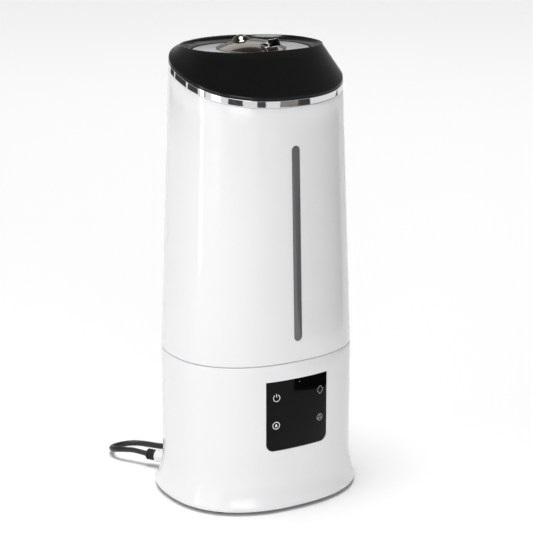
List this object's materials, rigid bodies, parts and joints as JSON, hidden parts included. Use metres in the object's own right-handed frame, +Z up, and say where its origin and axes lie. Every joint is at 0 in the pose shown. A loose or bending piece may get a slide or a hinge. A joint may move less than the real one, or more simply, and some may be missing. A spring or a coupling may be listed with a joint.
{
  "type": "cool mist humidifier",
  "caption": "Tower-shaped ultrasonic cool mist humidifier with a lift-off water tank, a turning mist nozzle, a touch panel and a mains lead.",
  "frame": {"origin": "on the floor under the middle of the body's outline at the seam", "axes": "+Z up, front with the touch panel and the water window towards -Y, filler cap on the +X side"},
  "size_m": [0.2495, 0.2574, 0.426],
  "materials": {
    "white_plastic": "gloss",
    "black_plastic": "high gloss",
    "chrome_trim": "mirror",
    "nozzle_metal": "polished",
    "smoked_plastic": "smoked, translucent",
    "natural_plastic": "satin",
    "clear_plastic": "frosted",
    "grey_plastic": "fine texture",
    "fan_plastic": "satin",
    "cap_plastic": "satin",
    "float_foam": "closed-cell foam",
    "rubber": "matte",
    "cord_pvc": "satin",
    "pin_metal": "nickel plated",
    "steel": "bright",
    "aluminium": "extruded",
    "brass": "turned",
    "circuit_board": "solder mask",
    "display": "gloss"
  },
  "bodies": {
    "base": {"base_housing": "white_plastic", "bottom_cover": "grey_plastic", "cover_screws": "steel", "rubber_feet": "rubber", "tray_floor": "natural_plastic", "tray_wall": "natural_plastic", "tray_posts": "natural_plastic", "transducer_body": "brass", "transducer_disc": "steel", "transducer_seal": "rubber", "heat_sink": "aluminium", "float_post": "natural_plastic", "valve_pin": "natural_plastic", "fan_housing": "fan_plastic", "fan_motor": "grey_plastic", "air_duct": "grey_plastic", "power_board": "circuit_board", "control_board": "circuit_board", "display_module": "display", "touch_panel": "black_plastic", "cord_gland": "white_plastic", "strain_relief": "rubber", "power_cord": "cord_pvc", "cord_coil": "cord_pvc", "cord_tail": "cord_pvc", "cord_tie": "fan_plastic", "plug_body": "cord_pvc", "plug_pins": "pin_metal"},
    "fan": {"fan_impeller": "fan_plastic"},
    "float": {"tray_float": "float_foam"},
    "tank": {"tank_shell": "white_plastic", "tank_bottom": "natural_plastic", "tank_spigot": "natural_plastic", "filler_neck": "natural_plastic", "mist_hood": "natural_plastic", "tank_roof": "natural_plastic", "mist_duct": "clear_plastic", "duct_seal": "rubber", "water_window": "smoked_plastic", "chrome_band": "chrome_trim", "top_collar": "black_plastic", "dish_plate": "nozzle_metal", "nozzle_seat": "grey_plastic"},
    "nozzle": {"nozzle_dome": "nozzle_metal", "nozzle_spout": "black_plastic"},
    "cap": {"filler_cap": "cap_plastic", "cap_gasket": "rubber"},
    "valve": {"valve_plunger": "natural_plastic", "valve_seal": "rubber", "valve_spring": "steel"}
  },
  "joints": [
    {"name": "tank_lift", "type": "slide", "parent": "base", "child": "tank", "axis": [0, 0, 1], "range_m": [0, 0.12]},
    {"name": "fan_spin", "type": "hinge", "parent": "base", "child": "fan", "pos_m": [-0.036, 0.008, 0.026], "axis": [0, 0, 1], "continuous": true},
    {"name": "float_rise", "type": "slide", "parent": "base", "child": "float", "axis": [0, 0, 1], "range_m": [0, 0.006]},
    {"name": "nozzle_turn", "type": "hinge", "parent": "tank", "child": "nozzle", "pos_m": [0, 0.008, 0.414], "axis": [0, 0, 1], "continuous": true},
    {"name": "cap_turn", "type": "hinge", "parent": "tank", "child": "cap", "pos_m": [0.048, 0.008, 0.14], "axis": [0, 0, 1], "range_deg": [0, 90]},
    {"name": "valve_slide", "type": "slide", "parent": "cap", "child": "valve", "axis": [0, 0, 1], "range_m": [-0.004, 0], "deforming": ["valve_spring"]}
  ],
  "couplings": [
    {"joint": "valve_slide", "follows": "tank_lift", "ratio": -0.0333}
  ]
}
